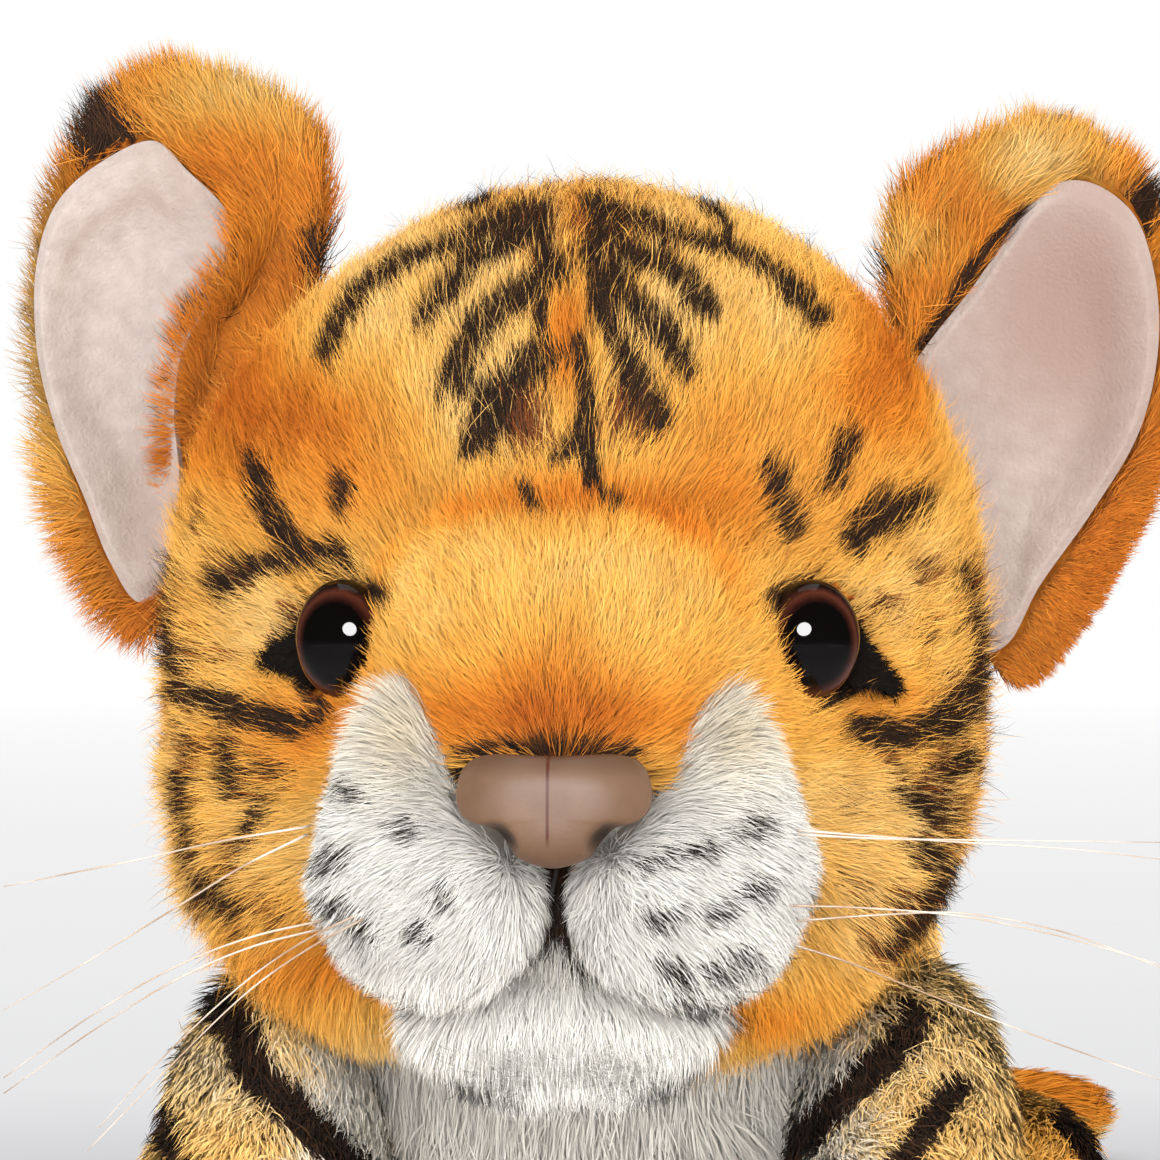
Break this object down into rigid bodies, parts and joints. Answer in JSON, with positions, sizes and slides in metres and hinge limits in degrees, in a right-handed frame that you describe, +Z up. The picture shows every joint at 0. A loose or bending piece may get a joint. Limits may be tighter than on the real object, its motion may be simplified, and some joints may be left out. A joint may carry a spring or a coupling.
{
  "type": "plush tiger",
  "caption": "Lying plush tiger cub with sewn skins over fillings, a head that turns and nods, folding ears, lifting forelegs and a swinging tail.",
  "frame": {"origin": "on the floor under the middle of the toy's bounding box", "axes": "+Z up, -Y the way the face looks, +X to the right as the face is seen"},
  "size_m": [0.1864, 0.4324, 0.2024],
  "materials": {
    "tiger_plush": "long soft acrylic pile, gold to rust with black stripes",
    "white_plush": "longer white acrylic pile with a few grey flecks",
    "ear_velour": "short pinkish grey velour",
    "stuffing": "white polyester fibre",
    "black_felt": "matt black felt",
    "eye_plastic": "clear gloss over brown iris and black pupil",
    "nose_vinyl": "taupe pink soft vinyl with a satin sheen",
    "washer_plastic": "white moulded polyethylene",
    "mouth_thread": "black embroidery thread",
    "whisker_nylon": "white translucent nylon hair",
    "label_tape": "plain woven white tape, blank"
  },
  "bodies": {
    "torso": {"torso_skin": "tiger_plush", "chest_bib": "white_plush", "torso_filling": "stuffing", "sewn_label": "label_tape", "hind_leg_skin_left": "tiger_plush", "hind_leg_filling_left": "stuffing", "hind_leg_skin_right": "tiger_plush", "hind_leg_filling_right": "stuffing"},
    "neck": {"neck_gusset": "tiger_plush"},
    "head": {"head_skin": "tiger_plush", "head_filling": "stuffing", "muzzle_pad_left": "white_plush", "muzzle_pad_right": "white_plush", "chin_pad": "white_plush", "nose": "nose_vinyl", "nose_washer": "washer_plastic", "mouth_thread": "mouth_thread", "eye_left": "eye_plastic", "eye_washer_left": "washer_plastic", "eye_corner_left": "black_felt", "eye_right": "eye_plastic", "eye_washer_right": "washer_plastic", "eye_corner_right": "black_felt", "whisker_left_1": "whisker_nylon", "whisker_left_2": "whisker_nylon", "whisker_left_3": "whisker_nylon", "whisker_left_4": "whisker_nylon", "whisker_left_5": "whisker_nylon", "whisker_left_6": "whisker_nylon", "whisker_right_1": "whisker_nylon", "whisker_right_2": "whisker_nylon", "whisker_right_3": "whisker_nylon", "whisker_right_4": "whisker_nylon", "whisker_right_5": "whisker_nylon"},
    "ear_left": {"ear_back_left": "tiger_plush", "ear_lining_left": "ear_velour"},
    "ear_right": {"ear_back_right": "tiger_plush", "ear_lining_right": "ear_velour"},
    "foreleg_left": {"foreleg_skin_left": "tiger_plush", "foreleg_filling_left": "stuffing"},
    "foreleg_right": {"foreleg_skin_right": "tiger_plush", "foreleg_filling_right": "stuffing"},
    "tail": {"tail_skin": "tiger_plush", "tail_filling": "stuffing"}
  },
  "joints": [
    {"name": "head_turn", "type": "hinge", "parent": "torso", "child": "neck", "pos_m": [-0.00131, -0.0642, 0.0555], "axis": [0, 0, 1], "range_deg": [-8, 8]},
    {"name": "head_nod", "type": "hinge", "parent": "neck", "child": "head", "pos_m": [-0.00131, -0.0642, 0.0555], "axis": [-1, 0, 0], "range_deg": [-2, 6]},
    {"name": "ear_left_fold", "type": "hinge", "parent": "head", "child": "ear_left", "pos_m": [-0.05636, -0.0952, 0.1432], "axis": [0.3907, 0, 0.9205], "range_deg": [-12, 12], "stiffness_Nm_per_rad": 0.15},
    {"name": "ear_right_fold", "type": "hinge", "parent": "head", "child": "ear_right", "pos_m": [0.05373, -0.0952, 0.1382], "axis": [-0.2588, 0, 0.9659], "range_deg": [-12, 12], "stiffness_Nm_per_rad": 0.15},
    {"name": "foreleg_left_lift", "type": "hinge", "parent": "torso", "child": "foreleg_left", "pos_m": [-0.00131, -0.0642, 0.0555], "axis": [-1, 0, 0], "range_deg": [0, 4]},
    {"name": "foreleg_right_lift", "type": "hinge", "parent": "torso", "child": "foreleg_right", "pos_m": [-0.00131, -0.0642, 0.0555], "axis": [-1, 0, 0], "range_deg": [0, 4]},
    {"name": "tail_swing", "type": "hinge", "parent": "torso", "child": "tail", "pos_m": [-0.00131, 0.1228, 0.034], "axis": [0, 0, 1], "range_deg": [-20, 20]}
  ]
}
